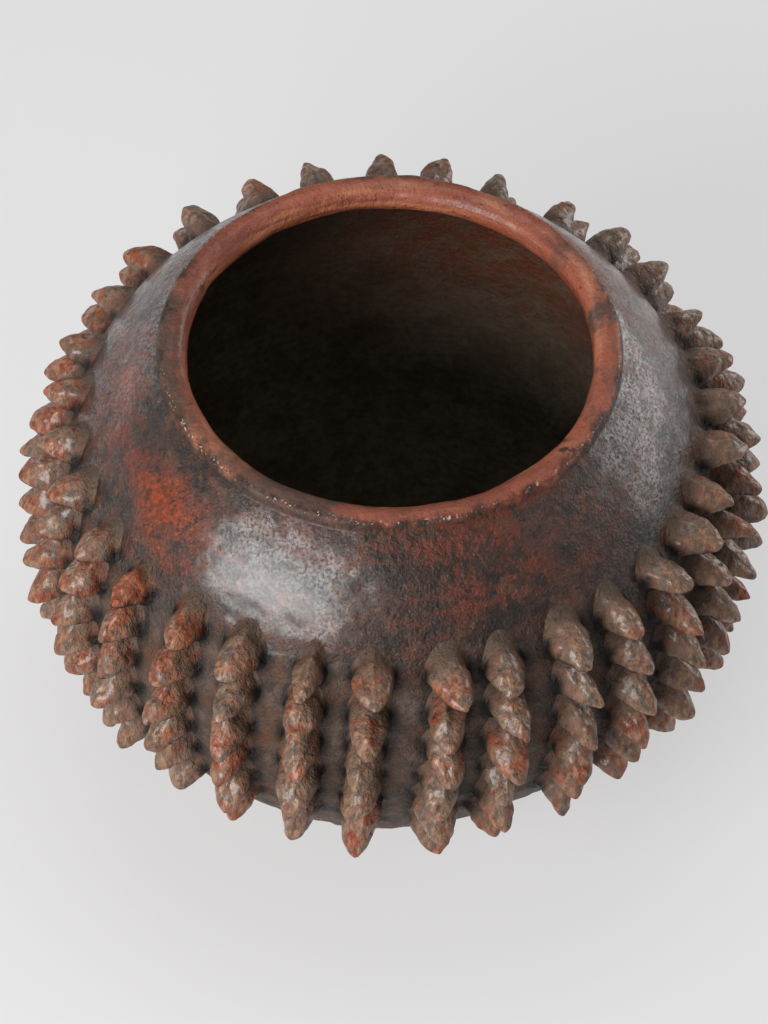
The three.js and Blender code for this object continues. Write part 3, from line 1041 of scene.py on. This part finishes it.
def pinchedClay(c):
    # Coarse clay pinched between finger and thumb and left as it was, with drag marks down each
    # spike, painted shade in its hollows and under each spike, and its orange body where it has worn. It
    # is matt, with small glints where fingers slid or hands have polished it. Its foot takes the wall's
    # slip.
    f = clayFinish
    fields = ("reach", "under", "top", "warmth", "below")
    material, tree, shader, place, reach, under, top, warmth, below = newMaterial("pinchedClay", fields)
    dragged = drawnOut(tree, place, (1, 1, 0.35))
    heat = gather(tree, warmth, patches(tree, place, 9, 0.3, 0.75, 33),
                  overlap(tree, reach, f["tipWarmer"]))
    orange = coats(tree, c["orange"], (c["ember"], patches(tree, dragged, 3, 0.4, 0.6, 34)))
    # painted shade in the creases round each spike's foot and on its underside
    foot = overlap(tree, (reach, 0.42, 0.06), (top, 0.6, 0.1))
    beneath = overlap(tree, (under, 0.15, 0.8))
    footAndUnderShade = addNode(tree, "ShaderNodeMath", {0: foot, 1: beneath}, operation="MAXIMUM").outputs[0]
    handledMost = patches(tree, dragged, 2.4, 0.44, 0.64, 35, 0.6)
    shadeMottle = patches(tree, place, 6, 0.05, 0.4, 36, detail=1)
    colour = coats(tree, c["olive"],
                   (c["brown"], patches(tree, place, 7, 0.38, 0.6, 31)),
                   (c["grey"], patches(tree, dragged, 5, 0.46, 0.66, 32)),
                   (orange, overlap(tree, (heat, 0.65, 1.3))),
                   (c["worn"], overlap(tree, (reach, 0.1, 0.8), handledMost)),
                   (c["slip"], overlap(tree, (reach, 0.45, 0.05), top)),
                   # painted shade, broken into patches, lower down the wall only
                   (c["specksAndShade"], overlap(tree, footAndUnderShade, below, shadeMottle)),
                   (c["specksAndShade"], patches(tree, dragged, 3, 0.52, 0.76, 37, 0.75)))
    rough = gather(tree, f["roughness"], patches(tree, place, 3, 0.3, 0.7, 38, 0.22))
    glints = overlap(tree, (reach, 0.1, 0.4), patches(tree, dragged, 2.6, 0.42, 0.6, 41, 0.72))
    feed(tree, shader, {
        "Base Color": colour, "Roughness": rough, "Specular IOR Level": f["specular"],
        "Coat Weight": glints, "Coat Roughness": f["coatRoughness"],
    })
    relief(tree, shader, [
        (patches(tree, place, 5, 0.2, 0.8, 39, detail=3), f["lumpDepth"]),
        (patches(tree, dragged, 1.7, 0.25, 0.75, 40, detail=3), f["dragDepth"]),
    ])
    return material


burnishedFinish = burnishedSlip(wallColours)
for piece in [*coils, floorDisc]:
    piece.data.materials.append(burnishedFinish)
lipRoll.data.materials.append(burnishedLip(lipColours))
pinchedFinish = pinchedClay(clayColours)
for piece in spikeColumns:
    piece.data.materials.append(pinchedFinish)
print("materials: burnished slip, burnished lip and pinched clay")


# Stage: a plain pale floor, a pale room and soft lamps

stage = {
    "floorColour": "#DEDDDD",
    "roughness": 0.9,
    "glow": 1.02,  # strength of the floor as a backdrop
    "glowShare": 0.6,  # the rest is the lit floor with its shadow
    "room": 0.22,
    "halfSize": 30,  # m
    "floorHeight": -0.0002,
}


def makeStage(s):
    # A square floor just under the foot. Only the camera and reflections see its share of plain glow.
    half, low = s["halfSize"], s["floorHeight"]
    corners = [(-half, -half, low), (half, -half, low), (half, half, low), (-half, half, low)]
    mesh = bpy.data.meshes.new("paleFloor")
    mesh.from_pydata(corners, [], [(0, 1, 2, 3)])
    ground = bpy.data.objects.new("paleFloor", mesh)
    scene.collection.objects.link(ground)
    material, tree, shader, place = newMaterial("paleFloor")
    feed(tree, shader, {"Base Color": s["floorColour"], "Roughness": s["roughness"], "Specular IOR Level": 0})
    path = addNode(tree, "ShaderNodeLightPath", {}).outputs
    rays = {0: path["Is Camera Ray"], 1: path["Is Glossy Ray"]}
    seen = addNode(tree, "ShaderNodeMath", rays, operation="MAXIMUM")
    share = overlap(tree, seen.outputs[0], s["glowShare"])
    glow = addNode(tree, "ShaderNodeEmission", {"Color": s["floorColour"], "Strength": s["glow"]})
    both = addNode(tree, "ShaderNodeMixShader", {0: share, 1: shader.outputs[0], 2: glow.outputs[0]})
    feed(tree, tree.nodes["Material Output"], {"Surface": both.outputs[0]})
    mesh.materials.append(material)
    world = bpy.data.worlds.new("paleRoom")
    world.use_nodes = True
    feed(world.node_tree, world.node_tree.nodes["Background"], {"Color": "#FFFFFF", "Strength": s["room"]})
    scene.world = world


lampAim = 0.15  # m above the floor
lamps = [  # angles in degrees, lengths in m
    {"name": "frontLeft", "azimuth": -37.5, "elevation": 23, "away": 1.7, "size": (1.35, 1), "level": 9.6},
    {"name": "overhead", "azimuth": 180, "elevation": 72, "away": 2.2, "size": (1.8, 1.4), "level": 2.3},
    {"name": "right", "azimuth": 116, "elevation": 11, "away": 1.8, "size": (1.6, 0.9), "level": 3.9},
    {"name": "backLeft", "azimuth": -130, "elevation": 8, "away": 1.8, "size": (1.2, 0.9), "level": 1.3},
]


def makeLamp(p):
    # Each lamp is a soft box that faces the pot. level is its brightness seen in a mirror.
    data = bpy.data.lights.new(p["name"], "AREA")
    data.shape = "RECTANGLE"
    data.size, data.size_y = p["size"]
    data.energy = p["level"] * math.pi * p["size"][0] * p["size"][1]
    lamp = bpy.data.objects.new(p["name"], data)
    a, e = math.radians(p["azimuth"]), math.radians(p["elevation"])
    away = np.array([math.sin(a) * math.cos(e), -math.cos(a) * math.cos(e), math.sin(e)])
    lamp.location = away * p["away"] + np.array([0, 0, lampAim])
    lamp.rotation_mode = "QUATERNION"
    lamp.rotation_quaternion = Vector(away).to_track_quat("Z", "Y")
    scene.collection.objects.link(lamp)


makeStage(stage)
for lampPlan in lamps:
    makeLamp(lampPlan)

scene.view_settings.view_transform = "Standard"
print("done")
